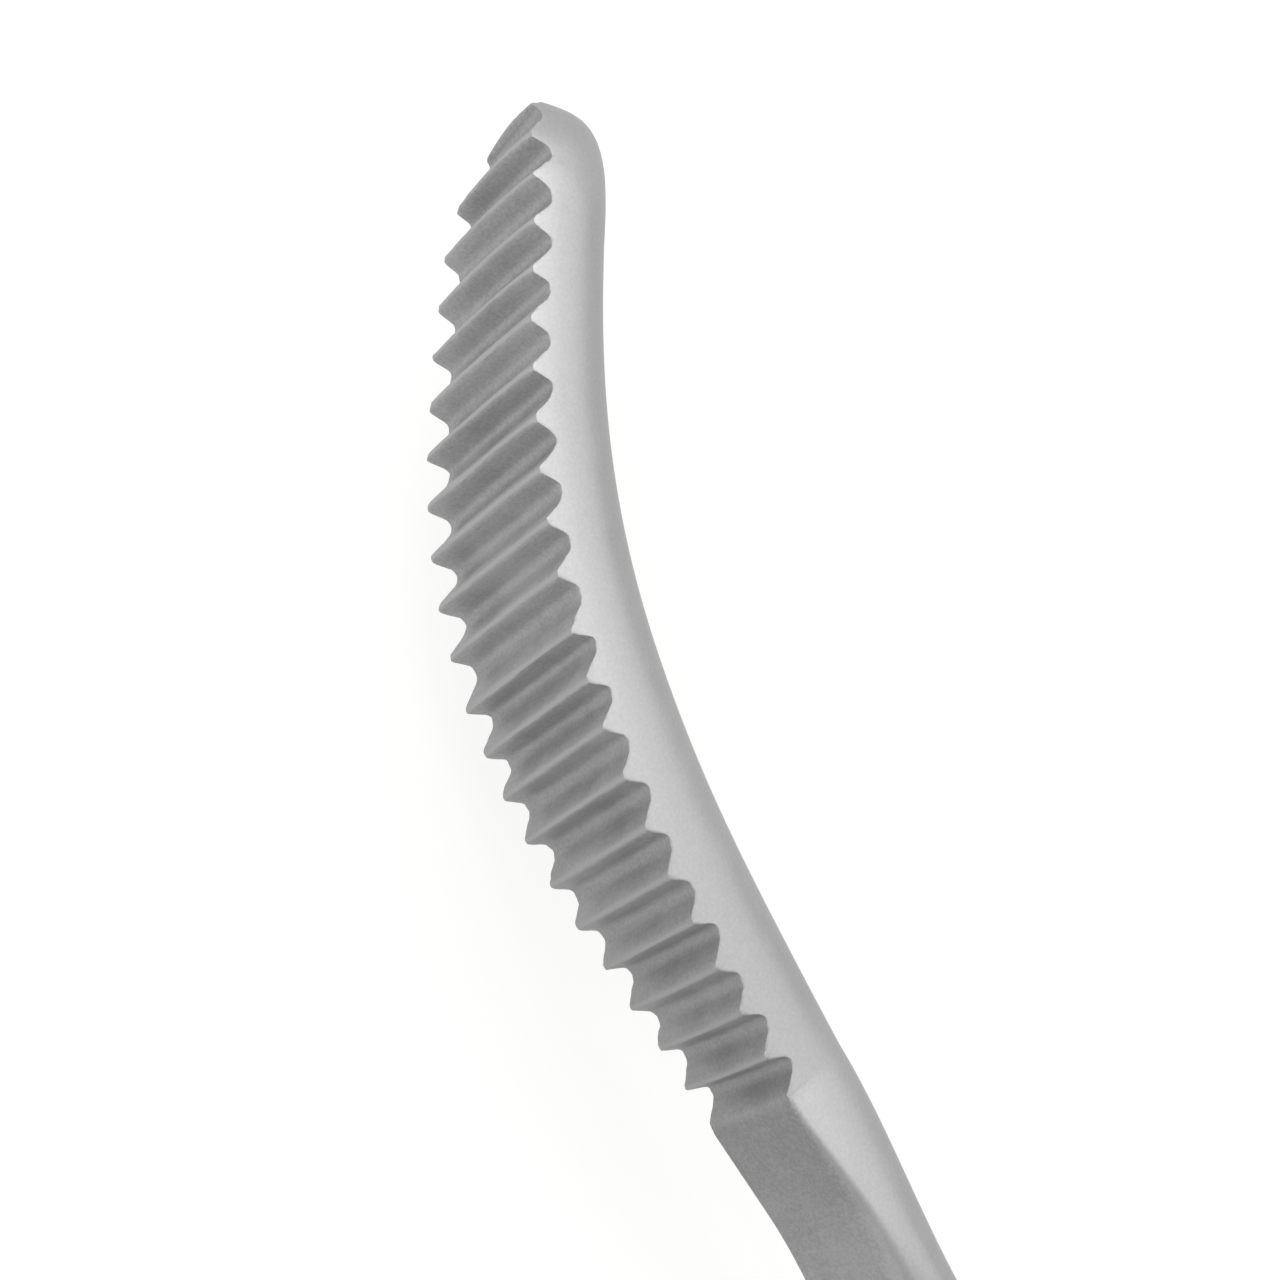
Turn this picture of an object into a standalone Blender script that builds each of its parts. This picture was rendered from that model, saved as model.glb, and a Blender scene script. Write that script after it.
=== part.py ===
# Bone file: a curved blade with a toothed face, on a slim shank and an eight-sided handle.
# One piece of stainless steel. It lies on one flat of its handle, with the handle along +X,
# the blade at -X and the toothed face towards -Y. The origin is under the middle of its box.
# A station is a distance along the toothed face from its heel, where the shank begins,
# towards the tip. Stations on the shank and handle are negative. Depth is measured into the
# steel from the tips of the teeth, and height along +Z from the mid plane.

import math

import bmesh
import bpy
from mathutils import Vector

MM = 0.001

# Toothed face and its grooves
BLADE_LENGTH = 21.4 * MM
TOOTH_PITCH = 1.0 * MM
GROOVE_ANGLE = math.radians(72.0)
ROOT_RADIUS = 0.25 * MM
CREST_WIDTH = 0.08 * MM
RIDGE_SKEW = math.radians(10.5)
HEEL_GROOVE_LEAN = math.radians(6.0)
TIP_GROOVE_LEAN = math.radians(15.0)
TIP_LAND = 0.7 * MM

# Bend of the blade, away from its teeth
BEND_ANGLE = math.radians(41.0)
BEND_FROM_HEEL = 2.6 * MM
BEND_TO_TIP = 1.9 * MM

# Width of the face and depth of the half round back
HEEL_WIDTH = 3.7 * MM
BELLY_WIDTH = 5.15 * MM
SHOULDER_WIDTH = 4.1 * MM
TIP_WIDTH = 2.4 * MM
HEEL_DEPTH = 2.3 * MM
BELLY_DEPTH = 2.63 * MM
SHOULDER_DEPTH = 2.32 * MM
BELLY_FROM_HEEL = 9.0 * MM
SHOULDER_FROM_TIP = 2.9 * MM
BACK_FULLNESS = 2.3

# Rounded nose, rounder across the face than through the blade's depth
NOSE_LENGTH = 1.8 * MM
NOSE_DEPTH = 1.4 * MM
NOSE_FULLNESS = 2.8
NOSE_SIDE_LENGTH = 2.4 * MM
NOSE_SIDE_FULLNESS = 2.2
NOSE_SKEW = math.radians(22.0)

# Run-out of the flat face into the round shank
RUN_OUT_LENGTH = 8.0 * MM
BACK_RUN_OUT = 5.7 * MM
NECK_DIAMETER = 2.4 * MM
SHANK_AXIS_DEPTH = 0.62 * MM

# Shank and handle
SHANK_LENGTH = 33.0 * MM
SHANK_END_DIAMETER = 4.2 * MM
FLARE_LENGTH = 7.0 * MM
HANDLE_LENGTH = 104.0 * MM
HANDLE_ACROSS_FLATS = 8.0 * MM
END_ROUNDING = 1.6 * MM

# Fineness of the surface
SECTION_POINTS = 48
BLADE_STEPS = 36
RUN_OUT_STEPS = 12
SHANK_STEPS = 6
ROUNDING_STEPS = 9
ROOT_STEPS = 6
BEND_SAMPLES = 400
CUTTER_MARGIN = 0.8 * MM
SMOOTH_LIMIT = math.radians(30.0)


def clear_scene():
    for item in list(bpy.data.objects):
        bpy.data.objects.remove(item, do_unlink=True)


def ease(value):
    value = min(max(value, 0.0), 1.0)
    return value * value * (3.0 - 2.0 * value)


def mix(first, second, share):
    return first + (second - first) * share


def smooth_curve(points, place):
    # A monotone cubic through a few (place, value) points, held level past its ends.
    if place <= points[0][0]:
        return points[0][1]
    if place >= points[-1][0]:
        return points[-1][1]
    gaps = [b[0] - a[0] for a, b in zip(points, points[1:])]
    rises = [(b[1] - a[1]) / gap for a, b, gap in zip(points, points[1:], gaps)]
    slopes = [rises[0]]
    for before, after in zip(rises, rises[1:]):
        slopes.append(2.0 * before * after / (before + after) if before * after > 0.0 else 0.0)
    slopes.append(rises[-1])
    index = max(i for i in range(len(gaps)) if points[i][0] <= place)
    gap = gaps[index]
    u = (place - points[index][0]) / gap
    start, end = points[index][1], points[index + 1][1]
    return (mix(start, end, u * u * (3.0 - 2.0 * u))
            + gap * slopes[index] * u * (1.0 - u) ** 2
            - gap * slopes[index + 1] * u * u * (1.0 - u))


def heading(station):
    # The angle that the face has turned through between its heel and this station.
    bend_length = BLADE_LENGTH - BEND_FROM_HEEL - BEND_TO_TIP
    return BEND_ANGLE * ease((station - BEND_FROM_HEEL) / bend_length)


def bend_points():
    # Points of the face's middle line along the bend, found by small straight steps.
    step = (BLADE_LENGTH + BELLY_WIDTH) / BEND_SAMPLES
    points = [Vector((0.0, 0.0, 0.0))]
    for i in range(BEND_SAMPLES):
        turn = heading((i + 0.5) * step)
        points.append(points[-1] + step * Vector((-math.cos(turn), math.sin(turn), 0.0)))
    return step, points


BEND_STEP, BEND_POINTS = bend_points()


def face_point(station):
    if station <= 0.0:
        return Vector((-station, 0.0, 0.0))
    place = station / BEND_STEP
    index = min(int(place), BEND_SAMPLES - 1)
    return BEND_POINTS[index].lerp(BEND_POINTS[index + 1], place - index)


def face_frame(station):
    # Direction towards the tip, and outward normal of the toothed face.
    turn = heading(station)
    along = Vector((-math.cos(turn), math.sin(turn), 0.0))
    outward = Vector((-math.sin(turn), -math.cos(turn), 0.0))
    return along, outward


def solid_point(station, depth, height, skew):
    # The stations slant with the ridges, so a point's own place shifts with its height.
    place = station + height * math.tan(skew)
    outward = face_frame(place)[1]
    return face_point(place) - depth * outward + Vector((0.0, 0.0, height))


def power(value, fullness):
    return math.copysign(abs(value) ** (2.0 / fullness), value)


def section(half_width, side_depth, front, back, fullness, front_round):
    # One closed outline of (depth, height) points. Front and back are measured from the
    # line where the section is widest. A front of zero is the flat toothed face.
    outline = []
    half = SECTION_POINTS // 2
    for i in range(SECTION_POINTS):
        angle = math.tau * i / SECTION_POINTS
        if math.cos(angle) > 1e-6 or i in (half // 2, 3 * half // 2):
            depth = side_depth + back * power(math.cos(angle), fullness)
            height = half_width * power(math.sin(angle), fullness)
        else:
            depth = side_depth + front * power(math.cos(angle), fullness)
            even = 1.0 - 2.0 * (i - half // 2) / half
            height = half_width * mix(even, power(math.sin(angle), fullness), front_round)
        outline.append((depth, height))
    return outline


def octagon(across_flats):
    outline = []
    corner = math.radians(45.0)
    for i in range(SECTION_POINTS):
        angle = math.tau * i / SECTION_POINTS
        from_flat = (angle + corner / 2.0) % corner - corner / 2.0
        radius = across_flats / 2.0 / math.cos(from_flat)
        outline.append((SHANK_AXIS_DEPTH + radius * math.cos(angle), radius * math.sin(angle)))
    return outline


def circle(diameter):
    radius = diameter / 2.0
    return section(radius, SHANK_AXIS_DEPTH, radius, radius, 2.0, 1.0)


def scaled(outline, share):
    return [(SHANK_AXIS_DEPTH + (depth - SHANK_AXIS_DEPTH) * share, height * share)
            for depth, height in outline]


def blade_half_width(station):
    points = [(0.0, HEEL_WIDTH), (BELLY_FROM_HEEL, BELLY_WIDTH),
              (BLADE_LENGTH - SHOULDER_FROM_TIP, SHOULDER_WIDTH), (BLADE_LENGTH, TIP_WIDTH)]
    return smooth_curve(points, station) / 2.0


def blade_depth(station):
    points = [(0.0, HEEL_DEPTH), (BELLY_FROM_HEEL, BELLY_DEPTH),
              (BLADE_LENGTH - SHOULDER_FROM_TIP, SHOULDER_DEPTH)]
    return smooth_curve(points, station)


def dome(station, length, fullness):
    # How much of the section is left this close to the tip, falling from 1 to 0.
    share = max(0.0, 1.0 - (BLADE_LENGTH - station) / length)
    return (1.0 - share ** fullness) ** (1.0 / fullness)


def blade_section(station):
    shrink = dome(station, NOSE_LENGTH, NOSE_FULLNESS)
    face = NOSE_DEPTH * (1.0 - shrink)
    back = mix(NOSE_DEPTH, blade_depth(station), shrink)
    half_width = blade_half_width(station) * dome(station, NOSE_SIDE_LENGTH,
                                                   NOSE_SIDE_FULLNESS)
    return section(half_width, face, 0.0, back - face, BACK_FULLNESS, 0.0)


def run_out_section(share):
    # Share goes from 0 at the heel of the flat face to 1 at the round neck. The back thins
    # down first and the width last.
    radius = NECK_DIAMETER / 2.0
    blend = ease(share)
    back_blend = ease(share * RUN_OUT_LENGTH / BACK_RUN_OUT)
    side = mix(0.0, SHANK_AXIS_DEPTH, blend)
    back = mix(HEEL_DEPTH, SHANK_AXIS_DEPTH + radius, back_blend) - side
    half_width = mix(HEEL_WIDTH / 2.0, radius, share ** 2)
    fullness = mix(BACK_FULLNESS, 2.0, blend)
    return section(half_width, side, radius * blend, back, fullness, blend)


def nose_stations():
    # From just short of the tip back to where the rounding starts.
    start = BLADE_LENGTH - NOSE_LENGTH
    angles = [math.radians(90.0) * i / (ROUNDING_STEPS + 1) for i in range(ROUNDING_STEPS, 0, -1)]
    return [start + NOSE_LENGTH * math.sin(angle) for angle in angles]


def loft_stations():
    # Every section from the tip to the handle's end, as (station, skew, outline).
    start = BLADE_LENGTH - NOSE_LENGTH
    rows = []
    for station in nose_stations():
        skew = mix(RIDGE_SKEW, NOSE_SKEW, (station - start) / NOSE_LENGTH)
        rows.append((station, skew, blade_section(station)))
    for i in range(BLADE_STEPS, -1, -1):
        station = start * i / BLADE_STEPS
        rows.append((station, RIDGE_SKEW, blade_section(station)))
    for i in range(1, RUN_OUT_STEPS + 1):
        share = i / RUN_OUT_STEPS
        rows.append((-RUN_OUT_LENGTH * share, RIDGE_SKEW * (1.0 - share), run_out_section(share)))
    for i in range(1, SHANK_STEPS + 1):
        share = i / SHANK_STEPS
        diameter = mix(NECK_DIAMETER, SHANK_END_DIAMETER, share)
        rows.append((-RUN_OUT_LENGTH - SHANK_LENGTH * share, 0.0, circle(diameter)))
    return rows + handle_stations()


def handle_stations():
    start = -RUN_OUT_LENGTH - SHANK_LENGTH - FLARE_LENGTH
    end = start - HANDLE_LENGTH
    full = octagon(HANDLE_ACROSS_FLATS)
    rows = [(start, 0.0, full), (end + END_ROUNDING, 0.0, full)]
    for i in range(1, ROUNDING_STEPS):
        angle = math.radians(90.0) * i / ROUNDING_STEPS
        inset = END_ROUNDING * (1.0 - math.cos(angle))
        share = 1.0 - 2.0 * inset / HANDLE_ACROSS_FLATS
        rows.append((end + END_ROUNDING * (1.0 - math.sin(angle)), 0.0, scaled(full, share)))
    return rows


def build_blank():
    # The file before its teeth are cut: rings of points joined from tip to handle end.
    mesh_builder = bmesh.new()
    rings = []
    for station, skew, outline in loft_stations():
        rings.append([mesh_builder.verts.new(solid_point(station, depth, height, skew))
                      for depth, height in outline])
    for ring, following in zip(rings, rings[1:]):
        for i in range(SECTION_POINTS):
            j = (i + 1) % SECTION_POINTS
            mesh_builder.faces.new((ring[i], ring[j], following[j], following[i]))
    mesh_builder.faces.new(rings[0])
    mesh_builder.faces.new(rings[-1])
    bmesh.ops.recalc_face_normals(mesh_builder, faces=mesh_builder.faces)
    return finish_mesh(mesh_builder, "bone_file")


def finish_mesh(mesh_builder, name):
    mesh = bpy.data.meshes.new(name)
    mesh_builder.to_mesh(mesh)
    mesh_builder.free()
    mesh.shade_smooth()
    mesh.set_sharp_from_angle(angle=SMOOTH_LIMIT)
    return mesh


def groove_profile():
    # Half round root between two straight flanks, as (across, depth) points.
    half_angle = GROOVE_ANGLE / 2.0
    half_width = (TOOTH_PITCH * math.cos(RIDGE_SKEW) - CREST_WIDTH) / 2.0
    centre_depth = half_width / math.tan(half_angle) - ROOT_RADIUS / math.sin(half_angle)
    sweep = math.radians(90.0) - half_angle
    points = [(-half_width, -CUTTER_MARGIN), (-half_width, 0.0)]
    for i in range(ROOT_STEPS + 1):
        angle = mix(-sweep, sweep, i / ROOT_STEPS)
        points.append((ROOT_RADIUS * math.sin(angle),
                       centre_depth + ROOT_RADIUS * math.cos(angle)))
    return points + [(half_width, 0.0), (half_width, -CUTTER_MARGIN)]


def add_groove(mesh_builder, station, profile):
    # The grooves lean a little towards the tip at the heel of the face, and more along it.
    lean = math.tan(mix(HEEL_GROOVE_LEAN, TIP_GROOVE_LEAN, station / BLADE_LENGTH))
    along, outward = face_frame(station)
    upward = Vector((0.0, 0.0, 1.0))
    ridge = (upward + math.tan(RIDGE_SKEW) * along).normalized()
    across = along * math.cos(RIDGE_SKEW) - upward * math.sin(RIDGE_SKEW)
    reach = BELLY_WIDTH / 2.0 / math.cos(RIDGE_SKEW) + CUTTER_MARGIN
    start = face_point(station) - reach * ridge
    corners = []
    for side, depth in profile:
        leaning_side = side + max(depth, 0.0) * lean
        corners.append(mesh_builder.verts.new(start + leaning_side * across - depth * outward))
    cap = mesh_builder.faces.new(corners)
    grown = bmesh.ops.extrude_face_region(mesh_builder, geom=[cap], use_keep_orig=True)
    moved = [item for item in grown["geom"] if isinstance(item, bmesh.types.BMVert)]
    bmesh.ops.translate(mesh_builder, verts=moved, vec=2.0 * reach * ridge)


def build_groove_cutter():
    mesh_builder = bmesh.new()
    profile = groove_profile()
    station = TOOTH_PITCH / 2.0
    while station <= BLADE_LENGTH - TIP_LAND:
        add_groove(mesh_builder, station, profile)
        station += TOOTH_PITCH
    bmesh.ops.recalc_face_normals(mesh_builder, faces=mesh_builder.faces)
    return finish_mesh(mesh_builder, "groove_cutter")


def satin_steel():
    material = bpy.data.materials.new("satin_steel")
    material.use_nodes = True
    shader = material.node_tree.nodes["Principled BSDF"]
    shader.inputs["Base Color"].default_value = (0.52, 0.52, 0.53, 1.0)
    shader.inputs["Metallic"].default_value = 1.0
    shader.inputs["Roughness"].default_value = 0.38
    return material


def add_object(mesh, name):
    item = bpy.data.objects.new(name, mesh)
    bpy.context.scene.collection.objects.link(item)
    return item


def cut_teeth(blank, cutter):
    cutter.hide_render = True
    cutter.display_type = "WIRE"
    teeth = blank.modifiers.new("teeth", "BOOLEAN")
    teeth.operation = "DIFFERENCE"
    teeth.solver = "EXACT"
    teeth.object = cutter


def rest_on_ground(item, guides):
    # Moves the solid and its cutter so that the origin is under the middle of the box.
    bpy.context.view_layer.update()
    solid = item.evaluated_get(bpy.context.evaluated_depsgraph_get())
    corners = [Vector(corner) for corner in solid.bound_box]
    low = [min(corner[axis] for corner in corners) for axis in range(3)]
    high = [max(corner[axis] for corner in corners) for axis in range(3)]
    shift = Vector((-(low[0] + high[0]) / 2.0, -(low[1] + high[1]) / 2.0, -low[2]))
    for moved in [item] + guides:
        moved.location = shift


def main():
    clear_scene()
    blank = add_object(build_blank(), "bone_file")
    blank.data.materials.append(satin_steel())
    cutter = add_object(build_groove_cutter(), "groove_cutter")
    cut_teeth(blank, cutter)
    rest_on_ground(blank, [cutter])


main()
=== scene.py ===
import math

import bmesh
import bpy
from mathutils import Matrix, Vector, noise


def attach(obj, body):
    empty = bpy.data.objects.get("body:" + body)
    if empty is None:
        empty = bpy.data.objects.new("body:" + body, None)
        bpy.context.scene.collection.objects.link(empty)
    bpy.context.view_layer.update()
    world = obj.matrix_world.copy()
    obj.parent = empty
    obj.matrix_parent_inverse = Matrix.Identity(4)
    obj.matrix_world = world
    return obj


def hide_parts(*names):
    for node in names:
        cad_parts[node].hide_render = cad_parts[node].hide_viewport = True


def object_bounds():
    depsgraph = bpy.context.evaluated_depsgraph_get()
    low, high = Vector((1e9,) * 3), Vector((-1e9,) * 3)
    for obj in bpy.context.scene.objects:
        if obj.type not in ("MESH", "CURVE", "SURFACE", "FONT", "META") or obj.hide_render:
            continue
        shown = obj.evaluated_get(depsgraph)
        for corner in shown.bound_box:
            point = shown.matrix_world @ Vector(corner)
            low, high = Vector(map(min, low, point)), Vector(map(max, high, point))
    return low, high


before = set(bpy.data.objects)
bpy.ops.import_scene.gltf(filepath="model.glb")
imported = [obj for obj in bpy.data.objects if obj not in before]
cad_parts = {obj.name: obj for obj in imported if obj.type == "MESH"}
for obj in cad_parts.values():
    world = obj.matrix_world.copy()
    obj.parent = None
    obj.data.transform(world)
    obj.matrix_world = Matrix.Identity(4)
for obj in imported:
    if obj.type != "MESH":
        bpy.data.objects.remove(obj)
solidLow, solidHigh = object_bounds()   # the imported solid's box, in metres
print("frame loaded:", ", ".join(sorted(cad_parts)))

mm = 0.001


def mix(first, second, share):
    return first + (second - first) * share


def ease(value):
    value = min(max(value, 0.0), 1.0)
    return value * value * (3.0 - 2.0 * value)


def smoothCurve(points, place):
    # monotone cubic through a few (place, value) points
    if place <= points[0][0]:
        return points[0][1]
    if place >= points[-1][0]:
        return points[-1][1]
    gaps = [b[0] - a[0] for a, b in zip(points, points[1:])]
    rises = [(b[1] - a[1]) / gap for a, b, gap in zip(points, points[1:], gaps)]
    slopes = [rises[0]]
    for before, after in zip(rises, rises[1:]):
        slopes.append(2.0 * before * after / (before + after) if before * after > 0.0 else 0.0)
    slopes.append(rises[-1])
    i = max(k for k in range(len(gaps)) if points[k][0] <= place)
    u = (place - points[i][0]) / gaps[i]
    return (mix(points[i][1], points[i + 1][1], u * u * (3.0 - 2.0 * u))
            + gaps[i] * slopes[i] * u * (1.0 - u) ** 2
            - gaps[i] * slopes[i + 1] * u * u * (1.0 - u))


# how finely the surface is drawn
fineness = {
    "backSteps": 20, "wallSteps": 7, "cornerSteps": 4, "faceSteps": 25,   # together half a ring
    "wallLine": 0.62,        # mm deep, where the back's steps end and the wall's begin
    "leastWall": 0.15,       # mm from there to the rounded corner, at least
    "halfTooth": (0.12, 0.24, 0.36, 0.5, 0.64, 0.77, 0.87, 0.94, 0.98, 1.0),   # root to crest
    "noseRings": 26, "runOutRings": 48, "shankRings": 22, "flareRings": 10, "endRings": 12,
    "leastNoseGap": 0.03,    # mm between the teeth's first ring and the nose's nearest one
    "bendSamples": 600,
    "sharpFrom": 40.0,       # degrees between two faces whose edge is shaded sharp
}
ringSize = 2 * (fineness["backSteps"] + fineness["wallSteps"]
                + fineness["cornerSteps"] + fineness["faceSteps"])

# toothed face, lengths in mm and angles in degrees, measured from the face's heel towards its tip
teeth = {
    "faceLength": 21.4,
    "pitch": 1.0,
    "tipLand": 0.7,          # plain strip left at the tip
    "grooveAngle": 72.0,
    "rootRadius": 0.25,
    "crestWidth": 0.08,
    "crestSoftness": 0.035,  # how far the cutter and the blasting rounded each crest
    "ridgeSkew": 10.5,
    "heelLean": 6.0,         # the grooves lean to the tip, more and more along the blade
    "tipLean": 15.0,
    "crown": 0.09,           # the crests stand a little higher in the middle of the face
    "crownFrom": 1.2,        # but not at the heel, where the first meets the flat behind it
    "lowerEndRise": [(0.0, -0.02), (6.0, -0.02), (12.5, 0.11), (17.5, 0.0)],   # along the face
    # crests and grooves that are off the even pitch, and the share of the full depth that some
    # grooves are cut to, by their numbers from the heel
    "crestDrift": {1: -0.06, 2: -0.06, 3: -0.05, 4: -0.05, 5: -0.05, 6: -0.04,
                   9: -0.07, 10: -0.12, 20: -0.08},
    "rootDrift": {0: 0.02, 1: -0.03, 2: -0.07, 3: -0.01, 4: -0.06, 5: -0.05, 14: 0.07, 16: 0.08},
    "depthShare": {0: 1.08, 2: 0.9, 3: 1.06, 4: 0.9, 5: 0.9, 7: 0.92, 10: 0.93, 14: 1.05, 18: 0.94},
}

blade = {
    "bend": 41.0, "bendFromHeel": 2.6, "bendToTip": 1.9,
    "heelWidth": 3.7, "bellyWidth": 5.15, "shoulderWidth": 4.1, "tipWidth": 2.4,
    "heelDepth": 2.3, "bellyDepth": 2.63, "shoulderDepth": 2.32,
    "bellyFromHeel": 9.0, "shoulderFromTip": 2.9,
    "backFullness": 2.3,     # 2 would be an ellipse
    "cornerRadius": 0.015,   # rounding between the face and the wall
    "crestCorner": 0.05,     # the same on a crest
    "crestCornerDepth": 0.12,    # mm below the crest, where it is down to the first radius
    "cornerLimit": 0.45,     # most that a corner takes of the section's half width and depth
    "noseLength": 1.8, "noseDepth": 1.4, "noseFullness": 2.5,
    "noseSideLength": 2.4, "noseSideFullness": 2.2, "noseSkew": 22.0,
}


def heading(station):
    # which way the face's middle line turns along the bend
    bendLength = teeth["faceLength"] - blade["bendFromHeel"] - blade["bendToTip"]
    return math.radians(blade["bend"]) * ease((station - blade["bendFromHeel"]) / bendLength)


def bendLine():
    # where that line runs, in mm from the heel, and a little past the tip
    step = (teeth["faceLength"] + blade["bellyWidth"]) / fineness["bendSamples"]
    line = [Vector((0.0, 0.0, 0.0))]
    for i in range(fineness["bendSamples"]):
        turn = heading((i + 0.5) * step)
        line.append(line[-1] + step * Vector((-math.cos(turn), math.sin(turn), 0.0)))
    return step, line


bendStep, bendPoints = bendLine()


def facePoint(station):
    if station <= 0.0:      # the shank and handle are straight
        return Vector((-station, 0.0, 0.0))
    place = station / bendStep
    i = min(int(place), len(bendPoints) - 2)
    return bendPoints[i].lerp(bendPoints[i + 1], place - i)


def wallWidth(depth, shape):
    share = (depth - shape["side"]) / max(shape["back"] - shape["side"], 1e-6)
    share = min(max(share, 0.0), 1.0)
    return shape["halfWidth"] * (1.0 - share ** shape["fullness"]) ** (1.0 / shape["fullness"])


def halfOutline(shape):
    # from the middle of the back round the upper wall to the middle of the face, as (depth, height);
    # shape gives the depths of front, side (where it is widest) and back, and its softShare goes
    # from 0, where points gather at the rounded corner, to 1, where they are spread evenly
    side, back, fullness = shape["side"], shape["back"], shape["fullness"]
    cornerDepth = shape["front"] + shape["corner"]
    wallLine = max(fineness["wallLine"], cornerDepth + fineness["leastWall"])
    wallLine = min(wallLine, mix(cornerDepth, back, 0.5))
    start = max(wallLine, side)
    lastAngle = math.acos(((start - side) / (back - side)) ** (fullness / 2.0))
    points = []
    for i in range(fineness["backSteps"]):
        angle = lastAngle * i / fineness["backSteps"]
        points.append((side + (back - side) * math.cos(angle) ** (2.0 / fullness),
                       shape["halfWidth"] * math.sin(angle) ** (2.0 / fullness)))
    for i in range(fineness["wallSteps"]):
        depth = mix(start, cornerDepth, i / fineness["wallSteps"])
        points.append((depth, wallWidth(depth, shape)))
    edge = wallWidth(cornerDepth, shape)
    arc = shape["corner"] * math.pi / 2.0
    flat = max(edge - shape["corner"], 0.0)
    steps = fineness["cornerSteps"] + fineness["faceSteps"]
    for i in range(steps + 1):
        if i <= fineness["cornerSteps"]:
            share = i / fineness["cornerSteps"] * arc / (arc + flat)
        else:
            onFlat = (i - fineness["cornerSteps"]) / fineness["faceSteps"] * flat
            share = (arc + onFlat) / (arc + flat)
        run = mix(share, i / steps, shape["softShare"]) * (arc + flat)
        if run <= arc:
            angle = run / shape["corner"]
            points.append((cornerDepth - shape["corner"] * math.sin(angle),
                           edge - shape["corner"] * (1.0 - math.cos(angle))))
        else:
            points.append((shape["front"], flat - (run - arc)))
    return points


def wholeRing(half):
    # the lower half mirrors the upper one
    return half + [(depth, -height) for depth, height in reversed(half[1:-1])]


def dome(station, length, fullness):
    # 1 along the blade, falling to 0 at the very tip
    share = max(0.0, 1.0 - (teeth["faceLength"] - station) / length)
    return (1.0 - share ** fullness) ** (1.0 / fullness)


def bladeRing(station, groove):
    length = teeth["faceLength"]
    shoulder = length - blade["shoulderFromTip"]
    shrink = dome(station, blade["noseLength"], blade["noseFullness"])
    width = smoothCurve([(0.0, blade["heelWidth"]), (blade["bellyFromHeel"], blade["bellyWidth"]),
                         (shoulder, blade["shoulderWidth"]), (length, blade["tipWidth"])], station)
    depth = smoothCurve([(0.0, blade["heelDepth"]), (blade["bellyFromHeel"], blade["bellyDepth"]),
                         (shoulder, blade["shoulderDepth"])], station)
    side = blade["noseDepth"] * (1.0 - shrink)
    halfWidth = width / 2.0 * dome(station, blade["noseSideLength"], blade["noseSideFullness"])
    crestShare = 1.0 - ease(groove / blade["crestCornerDepth"])
    corner = mix(blade["cornerRadius"], blade["crestCorner"], crestShare)
    front = max(side, groove)
    back = mix(blade["noseDepth"], depth, shrink)
    corner = min(corner, blade["cornerLimit"] * halfWidth, blade["cornerLimit"] * (back - front))
    return front, halfOutline({"front": front, "corner": corner, "side": side, "back": back,
                               "halfWidth": halfWidth, "fullness": blade["backFullness"],
                               "softShare": 0.0})


def grooveDepth(share):
    # depth of a groove, share 0 in its root and 1 on the crest beside it
    skew = math.radians(teeth["ridgeSkew"])
    halfAngle = math.radians(teeth["grooveAngle"] / 2.0)
    reach = teeth["pitch"] * math.cos(skew) / 2.0
    side = share * reach
    flank = (reach - teeth["crestWidth"] / 2.0 - side) / math.tan(halfAngle)
    soft = teeth["crestSoftness"]
    flank = 0.5 * (flank + math.sqrt(flank * flank + soft * soft))
    radius = teeth["rootRadius"]
    centre = ((reach - teeth["crestWidth"] / 2.0) / math.tan(halfAngle)
              - radius / math.sin(halfAngle))
    if side < radius * math.cos(halfAngle):
        return centre + math.sqrt(radius * radius - side * side)
    return flank


def toothRings():
    # rings from the last groove at the tip back to the heel, as (station, groove depth)
    count = int((teeth["faceLength"] - teeth["tipLand"] + teeth["pitch"] / 2.0) / teeth["pitch"])
    rings = []
    for groove in range(count - 1, -1, -1):
        lower = groove * teeth["pitch"] + teeth["crestDrift"].get(groove, 0.0)
        upper = (groove + 1) * teeth["pitch"] + teeth["crestDrift"].get(groove + 1, 0.0)
        root = (groove + 0.5) * teeth["pitch"] + teeth["rootDrift"].get(groove, 0.0)
        full = teeth["depthShare"].get(groove, 1.0)
        lean = math.radians(mix(teeth["heelLean"], teeth["tipLean"], root / teeth["faceLength"]))
        slide = math.tan(lean) / math.cos(math.radians(teeth["ridgeSkew"]))
        for share in reversed(fineness["halfTooth"]):
            depth = grooveDepth(share) * full
            rings.append((mix(root, upper, share) + depth * slide, depth))
        depth = grooveDepth(0.0) * full
        rings.append((root + depth * slide, depth))
        for share in fineness["halfTooth"][:-1]:
            depth = grooveDepth(share) * full
            rings.append((mix(root, lower, share) + depth * slide, depth))
    rings.append((0.0, grooveDepth(1.0)))
    return rings


# what use and the cutter did to the teeth, lengths in mm
wear = {
    "crests": 0.018,         # worn off every crest
    "ends": 0.03,            # and more off both of its ends
    "endReach": 0.3,
    "tipEnds": 0.16,         # most of all on the plain strip at the tip
    "tipEndReach": 1.0,
    "chatter": 0.006,        # waves that the cutter left on the flanks
    "burr": 0.035,           # raggedness where the grooves run out of the sides
    "burrReach": 0.15,
    # noise: how fast it changes along and across the face, and its seed
    "slowNoise": (7.3, 0.8, 1.7),
    "quickNoise": (3.1, 3.7, 9.2),
    "chatterNoise": (9.0, 0.5, 4.1),
    "burrNoise": (8.0, 5.0, 2.3),
    # and how strongly the wear follows it
    "crestsSlow": 1.1, "crestsQuick": 0.9, "endsSlow": 0.8,
}


def wearNoise(name, along, across):
    alongScale, acrossScale, seed = wear[name]
    return noise.noise(Vector((along * alongScale, across * acrossScale, seed)))


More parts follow.
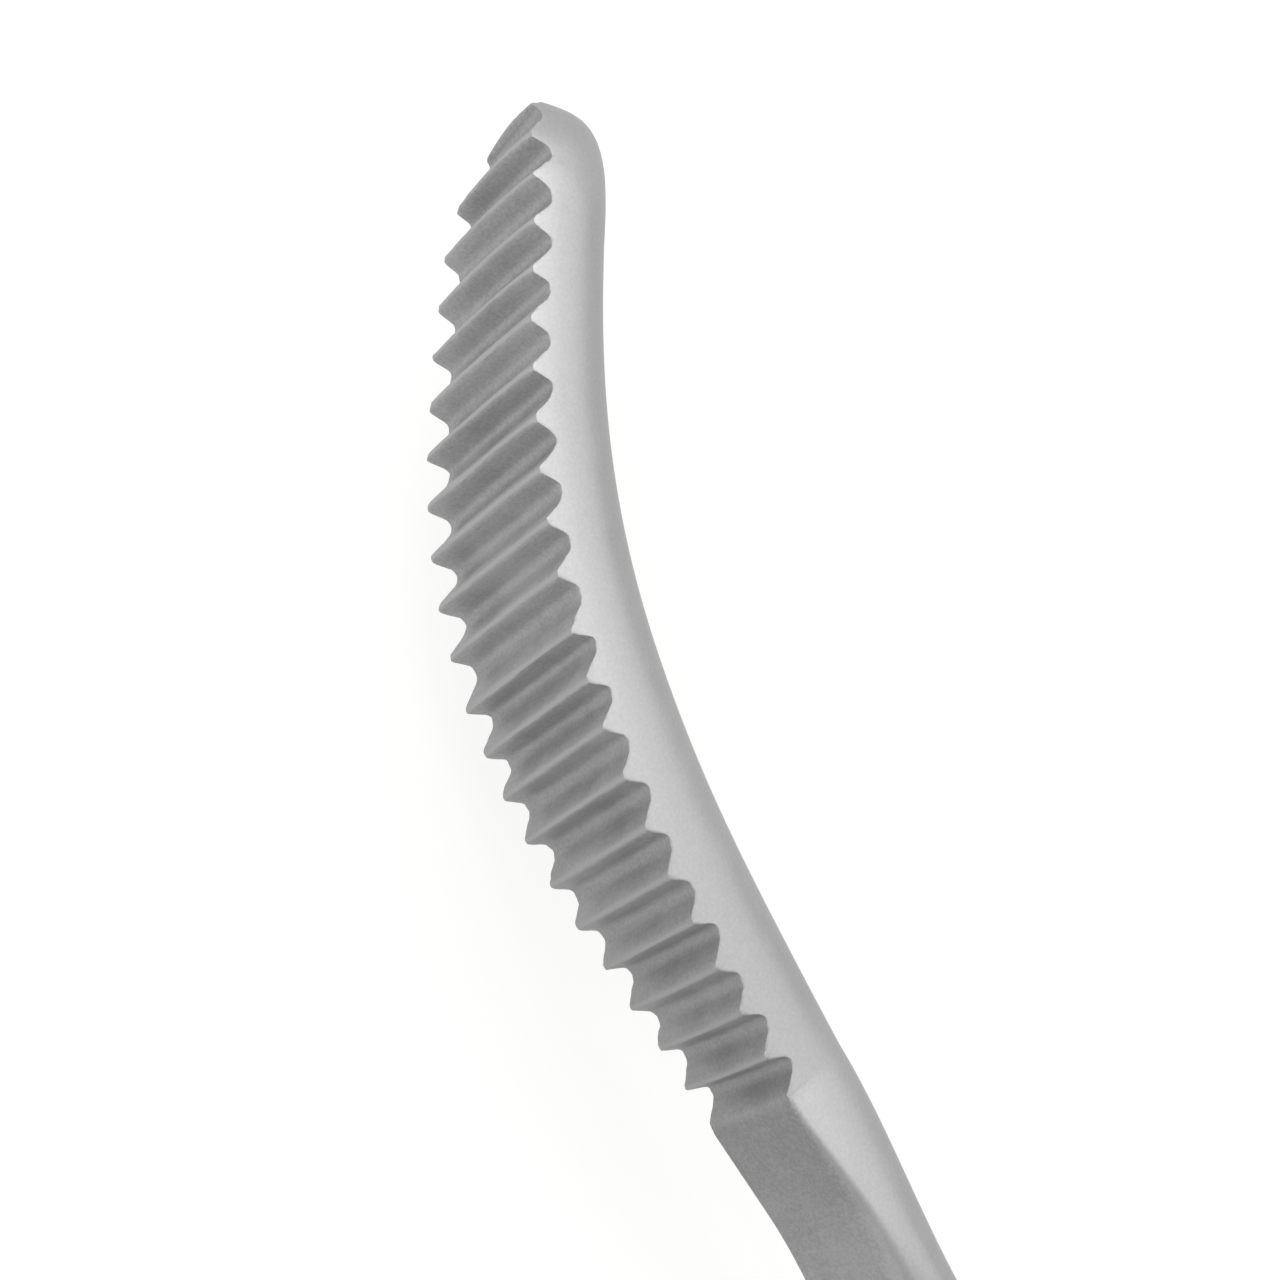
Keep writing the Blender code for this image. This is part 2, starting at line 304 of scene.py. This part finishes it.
def roughFace(station, depth, height, edge, onFace):
    # the depth that wear, burrs and chatter leave at a point of the face or of the wall beside it
    tooth = round(station / teeth["pitch"])
    slow = wearNoise("slowNoise", tooth, height)
    quick = wearNoise("quickNoise", tooth, height)
    floor = wear["crests"] * (1.0 + wear["crestsSlow"] * slow + wear["crestsQuick"] * quick)
    tip = ease((station - teeth["faceLength"] + 2.0 * teeth["tipLand"]) / teeth["tipLand"])
    reach = mix(wear["endReach"], wear["tipEndReach"], tip)
    nearEnd = ease((abs(height) - (edge - reach)) / reach)
    endWear = mix(wear["ends"], wear["tipEnds"], tip)
    floor += endWear * nearEnd ** 2 * (1.0 + wear["endsSlow"] * slow)
    floor *= ease(edge)     # less where the nose is narrow
    if not onFace:          # the wall only gives way to the wear
        return max(depth, floor)
    chatter = wear["chatter"] * wearNoise("chatterNoise", station, height)
    burr = ease((abs(height) - (edge - wear["burrReach"])) / wear["burrReach"])
    burr *= wear["burr"] * wearNoise("burrNoise", station, math.copysign(1.0, height))
    crown = teeth["crown"] * (1.0 - (height / edge) ** 2) * ease(station / teeth["crownFrom"])
    crown += smoothCurve(teeth["lowerEndRise"], station) * ease(-height / edge)
    crown *= max(0.0, 1.0 - depth / teeth["pitch"] * 2.0)    # none is left half a pitch down
    return max(depth, floor) + chatter + burr - crown


# the run-out behind the teeth, the round neck where it ends and the shank after it, in mm
shank = {
    "runOut": 8.0, "backRunOut": 5.7, "neckDiameter": 2.4, "axisDepth": 0.62,
    # depth of the flat behind the teeth and radius of its edges, by share of the run-out
    "flatLine": [(0.0, 0.0), (0.3, -0.04), (0.62, -0.35)],
    "edgeRounding": [(0.0, 0.05), (0.12, 0.16), (0.6, 0.55)],
    "flatTilt": 0.28,        # how much deeper the flat is at its upper edge
    "tiltPeak": 0.6,         # share of the run-out where it tilts most
    "tiltDepth": 1.2,        # depth where nothing of the tilt is left
    "length": 33.0, "endDiameter": 4.2,
}


def runOutRing(share):
    # the flat's edges soften until the section is the round neck
    radius = shank["neckDiameter"] / 2.0
    blend = ease(share)
    backBlend = ease(share * shank["runOut"] / shank["backRunOut"])
    front = smoothCurve(shank["flatLine"] + [(1.0, shank["axisDepth"] - radius)], share)
    return front, halfOutline({
        "front": front,
        "corner": smoothCurve(shank["edgeRounding"] + [(1.0, radius)], share),
        "side": mix(0.0, shank["axisDepth"], blend),
        "back": mix(blade["heelDepth"], shank["axisDepth"] + radius, backBlend),
        "halfWidth": mix(blade["heelWidth"] / 2.0, radius, share ** 2),
        "fullness": mix(blade["backFullness"], 2.0, blend),
        "softShare": blend})


def tiltFlat(share, depth, height, edge):
    # the flat behind the teeth was ground a little deeper towards its upper edge
    peak = shank["tiltPeak"]
    amount = ease(share / peak) * (1.0 - ease((share - peak) / (1.0 - peak)))
    amount *= 0.5 + 0.5 * height / edge
    fade = min(max(1.0 - depth / shank["tiltDepth"], 0.0), 1.0)
    return depth + shank["flatTilt"] * amount * fade


handle = {
    "flare": 7.0, "length": 104.0, "acrossFlats": 8.0, "sides": 8,
    "edgeRadius": 0.5, "endRounding": 1.6,
    "edgeSteps": 2,          # ring steps over half of each rounded edge
    "endStrip": 0.15,        # mm of plain side before each end, so that the sides are shaded flat
}


def octagonPoint(i):
    # point i of a ring on the rounded octagon, whose flats face up, down and sideways
    perSide = ringSize // handle["sides"]
    sector = math.floor(i / perSide + 0.5)
    step = i - sector * perSide
    flatSteps = perSide // 2 - handle["edgeSteps"]
    halfSector = math.radians(180.0 / handle["sides"])
    apothem, radius = handle["acrossFlats"] / 2.0, handle["edgeRadius"]
    flatHalf = (apothem - radius) * math.tan(halfSector)
    if abs(step) <= flatSteps:
        across, along = apothem, flatHalf * step / flatSteps
    else:
        angle = halfSector / handle["edgeSteps"] * (abs(step) - flatSteps)
        across = apothem - radius + radius * math.cos(angle)
        along = math.copysign(flatHalf + radius * math.sin(angle), step)
    turn = 2.0 * halfSector * sector
    return (across * math.cos(turn) - along * math.sin(turn),
            across * math.sin(turn) + along * math.cos(turn))


def roundRing(angles, radius):
    return [(shank["axisDepth"] + radius * math.cos(angle), radius * math.sin(angle))
            for angle in angles]


def octagonRing(share):
    return [(shank["axisDepth"] + share * x, share * y)
            for x, y in (octagonPoint(i) for i in range(ringSize))]


def shankAndHandleRings():
    # as (station, points); the shank's points turn slowly from the neck's places to the handle's
    neck = wholeRing(runOutRing(1.0)[1])
    neckAngles = [math.atan2(height, depth - shank["axisDepth"]) % math.tau
                  for depth, height in neck]
    edgeAngles = [math.atan2(y, x) % math.tau
                  for x, y in (octagonPoint(i) for i in range(ringSize))]
    rings = []
    start = -shank["runOut"]
    for i in range(1, fineness["shankRings"] + 1):
        share = i / fineness["shankRings"]
        angles = [mix(a, b, ease(share)) for a, b in zip(neckAngles, edgeAngles)]
        radius = mix(shank["neckDiameter"], shank["endDiameter"], share) / 2.0
        rings.append((start - shank["length"] * share, roundRing(angles, radius)))
    start -= shank["length"]
    thin = rings[-1][1]
    full = octagonRing(1.0)
    for i in range(1, fineness["flareRings"] + 1):
        share = i / fineness["flareRings"]
        ring = [(mix(a[0], b[0], share), mix(a[1], b[1], share)) for a, b in zip(thin, full)]
        rings.append((start - handle["flare"] * share, ring))
    start -= handle["flare"]
    end = start - handle["length"]
    for station in (start - handle["endStrip"], mix(start, end, 0.5),
                    end + handle["endRounding"] + handle["endStrip"]):
        rings.append((station, full))
    for i in range(fineness["endRings"]):
        angle = math.radians(90.0) * i / (fineness["endRings"] - 1)
        inset = handle["endRounding"] * (1.0 - math.cos(angle))
        rings.append((end + handle["endRounding"] * (1.0 - math.sin(angle)),
                      octagonRing(1.0 - 2.0 * inset / handle["acrossFlats"])))
    return rings


def allRings():
    # every ring from the tip to the handle's end: station, skew, points, groove depth, face depth;
    # only the blade has a groove depth, and the shank and handle have no face depth
    rings = []
    noseStart = teeth["faceLength"] - blade["noseLength"]
    ridgeSkew, noseSkew = math.radians(teeth["ridgeSkew"]), math.radians(blade["noseSkew"])
    fromTeeth = toothRings()
    tipmost = fromTeeth[0][0]

    def addBlade(station, groove):
        skew = mix(ridgeSkew, noseSkew, max(0.0, station - noseStart) / blade["noseLength"])
        front, half = bladeRing(station, groove)
        rings.append((station, skew, wholeRing(half), groove, front))

    for i in range(1, fineness["noseRings"]):
        angle = math.radians(90.0) * (1.0 - i / fineness["noseRings"])
        station = noseStart + blade["noseLength"] * math.sin(angle)
        if station > tipmost + fineness["leastNoseGap"]:
            addBlade(station, grooveDepth(1.0))
    for station, groove in fromTeeth:
        addBlade(station, groove)
    for i in range(1, fineness["runOutRings"] + 1):
        share = i / fineness["runOutRings"]
        front, half = runOutRing(share)
        skew = ridgeSkew * (1.0 - share)
        rings.append((-shank["runOut"] * share, skew, wholeRing(half), None, front))
    for station, ring in shankAndHandleRings():
        rings.append((station, 0.0, ring, None, None))
    return rings


# how far wear, finish and the painted shade on the flat behind the teeth reach, in mm
finishAndPaintedShade = {
    "faceDepth": 0.02,       # below the face, to here a point belongs to the teeth
    "flatDepth": 0.1,        # and to the flat behind them
    "wearDepth": 0.3,        # the wall gives way to the wear no deeper than this
    "polishDepth": 0.05,     # crests are polished to here
    "polishAtHeel": 0.2,     # nearest the heel the polish starts at this share of its rise
    "paintedShadeOnTeeth": 0.6,      # share of the flat's painted shade that the first teeth get
    "paintedShadeReach": 14.0,       # it fades out along the teeth over this length
    "paintedShadeEdge": 0.12,        # and over the flat's rounded edges, which grow with the run-out
    "paintedShadeEdgeGrowth": 0.8,
}


def finishAndShadeAt(station, depth, groove, front):
    # shares of polish, of painted shade (a darker steel colour on the flat and the first teeth,
    # standing in for the darker floor they mirror) and of the cutter's marks
    if front is None:
        return 0.0, 0.0, 0.0
    if groove is None:
        share = -station / shank["runOut"]
        reach = finishAndPaintedShade["paintedShadeEdge"] + finishAndPaintedShade["paintedShadeEdgeGrowth"] * share
        # painted shade on the flat: strongest at the heel, fading along the run-out and over the
        # flat's rounded edges
        flatShade = ease(1.0 - share) * (1.0 - ease((depth - front) / reach))
        return 0.0, flatShade, 1.0 if depth < front + finishAndPaintedShade["flatDepth"] else 0.0
    if depth >= front + finishAndPaintedShade["faceDepth"]:
        return 0.0, 0.0, 0.0
    shine = 1.0 - ease(groove / finishAndPaintedShade["polishDepth"])
    shine *= ease(finishAndPaintedShade["polishAtHeel"] + station)
    return shine, finishAndPaintedShade["paintedShadeOnTeeth"] * (1.0 - ease(station / finishAndPaintedShade["paintedShadeReach"])), 1.0


def finalDepth(station, depth, height, edge, groove, front):
    if front is None:
        return depth
    if groove is None:
        return tiltFlat(-station / shank["runOut"], depth, height, edge)
    if depth >= front + finishAndPaintedShade["wearDepth"]:
        return depth
    onFace = depth < front + finishAndPaintedShade["faceDepth"]
    return front - groove + roughFace(station, depth - front + groove, height, edge, onFace)


# the heel of the toothed face, found from the solid's box: the handle's end is the box's highest x
# and the handle's side its lowest y
handleEnd = shank["runOut"] + shank["length"] + handle["flare"] + handle["length"]
heel = Vector((
    solidHigh.x - handleEnd * mm,
    solidLow.y + (handle["acrossFlats"] / 2 - shank["axisDepth"]) * mm,
    handle["acrossFlats"] / 2 * mm))


def surfacePoint(station, depth, height, skew):
    # a ring slants with the ridges, so a point's own place on the bend shifts with its height
    place = station + height * math.tan(skew)
    turn = heading(place)
    inward = Vector((math.sin(turn), math.cos(turn), 0.0))
    return heel + (facePoint(place) + depth * inward + Vector((0.0, 0.0, height))) * mm


def growRing(body, ring, edges):
    # extrudes a ring's edges, and returns the new ring in the old one's order, and its edges
    grown = bmesh.ops.extrude_edge_only(body, edges=edges)["geom"]
    older = {vert: i for i, vert in enumerate(ring)}
    newer = [item for item in grown if isinstance(item, bmesh.types.BMVert)]
    ring = [None] * ringSize
    for vert in newer:
        for edge in vert.link_edges:
            other = edge.other_vert(vert)
            if other in older:
                ring[older[other]] = vert
    fresh = set(newer)
    return ring, [item for item in grown if isinstance(item, bmesh.types.BMEdge)
                  and item.verts[0] in fresh and item.verts[1] in fresh]


def loftFile():
    # one closed surface: a circle of points is extruded ring by ring from the tip to the handle
    body = bmesh.new()
    place = body.verts.layers.float_vector.new("cutPlace")   # station, height and depth in mm
    polish = body.verts.layers.float.new("polish")           # 1 on worn crests
    paintedShade = body.verts.layers.float.new("paintedShade")           # 1 where painted shade darkens the flat most
    milled = body.verts.layers.float.new("milled")           # 1 on the teeth and on that flat
    bmesh.ops.create_circle(body, segments=ringSize, radius=mm)
    ring = list(body.verts)
    edges = list(body.edges)
    for count, (station, skew, points, groove, front) in enumerate(allRings()):
        if count:
            ring, edges = growRing(body, ring, edges)
        edge = max(height for depth, height in points)
        for vert, (depth, height) in zip(ring, points):
            vert[place] = Vector((station, height, depth))
            vert[polish], vert[paintedShade], vert[milled] = finishAndShadeAt(station, depth, groove, front)
            depth = finalDepth(station, depth, height, edge, groove, front)
            vert.co = surfacePoint(station, depth, height, skew)
    ends = [edge for edge in body.edges if edge.is_boundary]
    bmesh.ops.holes_fill(body, edges=ends, sides=0)
    bmesh.ops.recalc_face_normals(body, faces=body.faces)
    mesh = bpy.data.meshes.new("bone_file_steel")
    body.to_mesh(mesh)
    body.free()
    mesh.shade_smooth()
    mesh.set_sharp_from_angle(angle=math.radians(fineness["sharpFrom"]))
    piece = bpy.data.objects.new("bone_file_steel", mesh)
    bpy.context.scene.collection.objects.link(piece)
    print("file lofted:", len(mesh.vertices), "points")
    return piece


def linear(hexColour):
    channels = [int(hexColour[i:i + 2], 16) / 255.0 for i in (1, 3, 5)]
    return tuple(c / 12.92 if c <= 0.04045 else ((c + 0.055) / 1.055) ** 2.4
                 for c in channels) + (1.0,)


def addNode(tree, kind, settings=None, inputs=None, links=None):
    # adds a node, sets its own settings and socket values, and links its inputs
    node = tree.nodes.new(kind)
    for name, value in (settings or {}).items():
        setattr(node, name, value)
    for name, value in (inputs or {}).items():
        node.inputs[name].default_value = value
    for name, socket in (links or {}).items():
        tree.links.new(socket, node.inputs[name])
    return node


steelLook = {
    "colour": "#bebebf",     # stainless steel under a satin blast
    "pitColour": "#a9a9aa",
    "wornColour": "#bebebf",
    "paintedShadeScale": 0.77,     # painted shade: the steel's colour is scaled by this on the flat behind the teeth, for the darker floor it mirrors
    "roughness": 0.42,
    "cloudRoughness": (-0.05, 0.06),     # added in the cloudy patches
    "wornRoughness": -0.03,              # and on the worn crests
    "cutRoughness": 0.17,                # and on the teeth and the flat behind them
    "grain": 0.035,          # mm across, the pits that the blasting beads left
    "mottle": 0.9,           # mm across, cloudy patches of the blasting
    "streak": 0.09,          # mm apart, lines left by the cutter along each groove
    "streakStretch": 0.06,   # how much slower those change along the groove than across it
    # the part of each noise that is used, either way from 0.5, and how strongly it shows
    "pits": (0.14, 0.15),
    "clouds": (0.15, 0.14),
    "lines": (0.15, 0.12),
    "cutContrast": 1.3,      # how much stronger pits and clouds show on the teeth
    "reliefStrength": 0.4,
    "reliefHeight": 0.006,   # mm
    "streakRelief": 0.5,     # share of the cutter's lines in the relief
}


def satinSteel():
    # bead blasted stainless steel: an even, soft sheen with a fine grain and cloudy patches,
    # duller streaks in the cut grooves and a slight polish on the worn crests
    steel = bpy.data.materials.new("satinSteel")
    steel.use_nodes = True
    tree = steel.node_tree
    shader = tree.nodes["Principled BSDF"]
    shader.inputs["Metallic"].default_value = 1.0
    spot = addNode(tree, "ShaderNodeTexCoord").outputs["Object"]
    cut = addNode(tree, "ShaderNodeAttribute", {"attribute_name": "cutPlace"}).outputs["Vector"]
    worn, paintedShade, milled = (
        addNode(tree, "ShaderNodeAttribute", {"attribute_name": name}).outputs["Fac"]
        for name in ("polish", "paintedShade", "milled"))
    # one step of a noise holds about two of its patches, hence the halves
    grain = addNode(tree, "ShaderNodeTexNoise", None,
                    {"Scale": 0.5 / (steelLook["grain"] * mm), "Detail": 2.0, "Roughness": 0.6},
                    {"Vector": spot}).outputs["Fac"]
    mottle = addNode(tree, "ShaderNodeTexNoise", None,
                     {"Scale": 0.5 / (steelLook["mottle"] * mm), "Detail": 4.0, "Roughness": 0.65},
                     {"Vector": spot}).outputs["Fac"]
    along = addNode(tree, "ShaderNodeMapping", None,
                    {"Scale": (1.0, steelLook["streakStretch"], 1.0)},
                    {"Vector": cut}).outputs["Vector"]
    streak = addNode(tree, "ShaderNodeTexNoise", None,
                     {"Scale": 0.5 / steelLook["streak"], "Detail": 3.0, "Roughness": 0.6},
                     {"Vector": along}).outputs["Fac"]
    pits, clouds, lines = (
        addNode(tree, "ShaderNodeMapRange", None,
                {"From Min": 0.5 - spread, "From Max": 0.5 + spread,
                 "To Min": -contrast, "To Max": contrast},
                {"Value": source}).outputs["Result"]
        for source, (spread, contrast) in (
            (grain, steelLook["pits"]), (mottle, steelLook["clouds"]), (streak, steelLook["lines"])))
    # the cut faces keep a coarser look than the walls, and the cutter's lines
    coarser = addNode(tree, "ShaderNodeMath", {"operation": "MULTIPLY_ADD"},
                      {1: steelLook["cutContrast"], 2: 1.0}, {0: milled}).outputs["Value"]
    specks = addNode(tree, "ShaderNodeMath", {"operation": "ADD"}, None,
                     {0: pits, 1: clouds}).outputs["Value"]
    specks = addNode(tree, "ShaderNodeMath", {"operation": "MULTIPLY_ADD"}, {2: 0.5},
                     {0: specks, 1: coarser}).outputs["Value"]
    tone = addNode(tree, "ShaderNodeMath", {"operation": "MULTIPLY_ADD", "use_clamp": True}, None,
                   {0: lines, 1: milled, 2: specks}).outputs["Value"]
    # a Mix node's sockets 6 and 7 are its colours, and output 2 is their mixture
    colour = addNode(tree, "ShaderNodeMix", {"data_type": "RGBA"},
                     {6: linear(steelLook["pitColour"]), 7: linear(steelLook["colour"])},
                     {0: tone}).outputs[2]
    colour = addNode(tree, "ShaderNodeMix", {"data_type": "RGBA"},
                     {7: linear(steelLook["wornColour"])}, {0: worn, 6: colour}).outputs[2]
    # painted shade: the colour is scaled down on the flat behind the teeth and, more faintly, on the
    # first teeth
    shade = addNode(tree, "ShaderNodeMapRange", None,
                    {"To Min": 1.0, "To Max": steelLook["paintedShadeScale"]},
                    {"Value": paintedShade}).outputs["Result"]
    colour = addNode(tree, "ShaderNodeVectorMath", {"operation": "SCALE"}, None,
                     {0: colour, "Scale": shade}).outputs["Vector"]
    tree.links.new(colour, shader.inputs["Base Color"])
    smoothest, roughest = steelLook["cloudRoughness"]
    rough = addNode(tree, "ShaderNodeMapRange", None,
                    {"From Min": 0.3, "From Max": 0.7,
                     "To Min": steelLook["roughness"] + smoothest,
                     "To Max": steelLook["roughness"] + roughest},
                    {"Value": mottle}).outputs["Result"]
    rough = addNode(tree, "ShaderNodeMath", {"operation": "MULTIPLY_ADD"},
                    {1: steelLook["wornRoughness"]}, {0: worn, 2: rough}).outputs["Value"]
    rough = addNode(tree, "ShaderNodeMath", {"operation": "MULTIPLY_ADD"},
                    {1: steelLook["cutRoughness"]}, {0: milled, 2: rough}).outputs["Value"]
    tree.links.new(rough, shader.inputs["Roughness"])
    relief = addNode(tree, "ShaderNodeMath", {"operation": "MULTIPLY_ADD"},
                     {1: steelLook["streakRelief"]}, {0: streak, 2: grain}).outputs["Value"]
    bump = addNode(tree, "ShaderNodeBump", None,
                   {"Strength": steelLook["reliefStrength"],
                    "Distance": steelLook["reliefHeight"] * mm},
                   {"Height": relief}).outputs["Normal"]
    tree.links.new(bump, shader.inputs["Normal"])
    return steel


# floor, sky and lamps, lengths in metres
studio = {
    "floorSize": 3.0,
    "floorColour": "#bcbcba",
    "floorGlow": 0.53,       # where the camera looks: the card reads white but keeps a shadow
    # where the steel mirrors the card, it is darker but glows more, so that the teeth don't pick
    # up their own shadow
    "floorColourInSteel": "#80807f",
    "floorGlowInSteel": 0.55,
    "skyInSteel": 0.43,      # how bright the sky is where the steel mirrors it
    "skyLight": 0.30,        # and as it lights everything evenly; the camera sees it white
    # a ring of large softboxes round the blade, open on the handle's side, and one above:
    # turn in degrees from +Y towards +X, height in degrees, power in watts
    "lampDistance": 1.2,
    "lampSize": 1.3,
    "lamps": {
        "back": (5.0, 36.0, 4.8),
        "backLeft": (-50.0, 36.0, 5.0),
        "left": (-95.0, 36.0, 5.0),
        "frontLeft": (-140.0, 36.0, 5.0),
        "front": (180.0, 36.0, 3.8),
        "top": (0.0, 78.0, 4.0),
    },
}


def seenInMirror(tree, rays):
    # 1 where metal or glass mirrors or shows what has this material
    return addNode(tree, "ShaderNodeMath", {"operation": "MAXIMUM"}, None,
                   {0: rays.outputs["Is Glossy Ray"],
                    1: rays.outputs["Is Transmission Ray"]}).outputs["Value"]


def paleCard():
    # matt card, plain and even, so it has no grain of its own
    card = bpy.data.materials.new("paleCard")
    card.use_nodes = True
    tree = card.node_tree
    tree.nodes.clear()
    rays = addNode(tree, "ShaderNodeLightPath")
    mirrored = seenInMirror(tree, rays)
    glowInSteel = addNode(tree, "ShaderNodeMath", {"operation": "MULTIPLY"},
                          {1: studio["floorGlowInSteel"]}, {0: mirrored}).outputs["Value"]
    glowLevel = addNode(tree, "ShaderNodeMath", {"operation": "MULTIPLY_ADD"},
                        {1: studio["floorGlow"]},
                        {0: rays.outputs["Is Camera Ray"], 2: glowInSteel}).outputs["Value"]
    colour = addNode(tree, "ShaderNodeMix", {"data_type": "RGBA"},
                     {6: linear(studio["floorColour"]), 7: linear(studio["floorColourInSteel"])},
                     {0: mirrored}).outputs[2]
    matt = addNode(tree, "ShaderNodeBsdfDiffuse", None, None, {"Color": colour}).outputs[0]
    glow = addNode(tree, "ShaderNodeEmission", None, None, {"Strength": glowLevel}).outputs[0]
    both = addNode(tree, "ShaderNodeAddShader", None, None, {0: matt, 1: glow}).outputs[0]
    addNode(tree, "ShaderNodeOutputMaterial", None, None, {"Surface": both})
    return card


def addFloor():
    grid = bmesh.new()
    bmesh.ops.create_grid(grid, x_segments=1, y_segments=1, size=studio["floorSize"] / 2.0)
    mesh = bpy.data.meshes.new("floor")
    grid.to_mesh(mesh)
    grid.free()
    mesh.materials.append(paleCard())
    floor = bpy.data.objects.new("floor", mesh)
    bpy.context.scene.collection.objects.link(floor)


def addSky():
    world = bpy.data.worlds.new("studio")
    bpy.context.scene.world = world
    world.use_nodes = True
    tree = world.node_tree
    rays = addNode(tree, "ShaderNodeLightPath")
    level = addNode(tree, "ShaderNodeMapRange", None,
                    {"To Min": studio["skyLight"], "To Max": studio["skyInSteel"]},
                    {"Value": seenInMirror(tree, rays)}).outputs["Result"]
    level = addNode(tree, "ShaderNodeMath", {"operation": "MAXIMUM"}, None,
                    {0: level, 1: rays.outputs["Is Camera Ray"]}).outputs["Value"]
    background = tree.nodes["Background"]
    background.inputs["Color"].default_value = (1.0, 1.0, 1.0, 1.0)
    tree.links.new(level, background.inputs["Strength"])


def addLamps(target):
    for name, (turn, height, power) in studio["lamps"].items():
        light = bpy.data.lights.new(name, "AREA")
        light.size = studio["lampSize"]
        light.energy = power
        lamp = bpy.data.objects.new(name, light)
        bpy.context.scene.collection.objects.link(lamp)
        turn, height = math.radians(turn), math.radians(height)
        towards = Vector((math.cos(height) * math.sin(turn), math.cos(height) * math.cos(turn),
                          math.sin(height)))
        lamp.location = target + studio["lampDistance"] * towards
        lamp.rotation_mode = "QUATERNION"
        lamp.rotation_quaternion = (-towards).to_track_quat("-Z", "Y")


# the photograph's viewpoint: from the heel, and the camera's right, up and back directions
viewpoint = {
    "place": (-17.865, -24.364, 51.220),     # mm
    "right": (0.51127, 0.71479, 0.47716),
    "up": (-0.84600, 0.51634, 0.13299),
    "back": (-0.15131, -0.47167, 0.86870),
    "lens": 83.8,            # mm, on a sensor of this width
    "sensor": 36.0,
}


def addCamera():
    lens = bpy.data.cameras.new("camera")
    lens.sensor_width = viewpoint["sensor"]
    lens.lens = viewpoint["lens"]
    lens.clip_start = mm
    camera = bpy.data.objects.new("camera", lens)
    bpy.context.scene.collection.objects.link(camera)
    axes = Matrix((viewpoint["right"], viewpoint["up"], viewpoint["back"])).transposed()
    place = Matrix.Translation(heel + Vector(viewpoint["place"]) * mm)
    camera.matrix_world = place @ axes.to_4x4()
    bpy.context.scene.camera = camera


addCamera()
print("camera placed")

boneFile = loftFile()
boneFile.data.materials.append(satinSteel())
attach(boneFile, "root")
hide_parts("bone_file")
print("file finished in satin steel")

addFloor()
addSky()
addLamps(heel + facePoint(teeth["faceLength"] / 2.0) * mm)
bpy.context.scene.view_settings.view_transform = "Standard"
print("floor, sky and lamps placed")
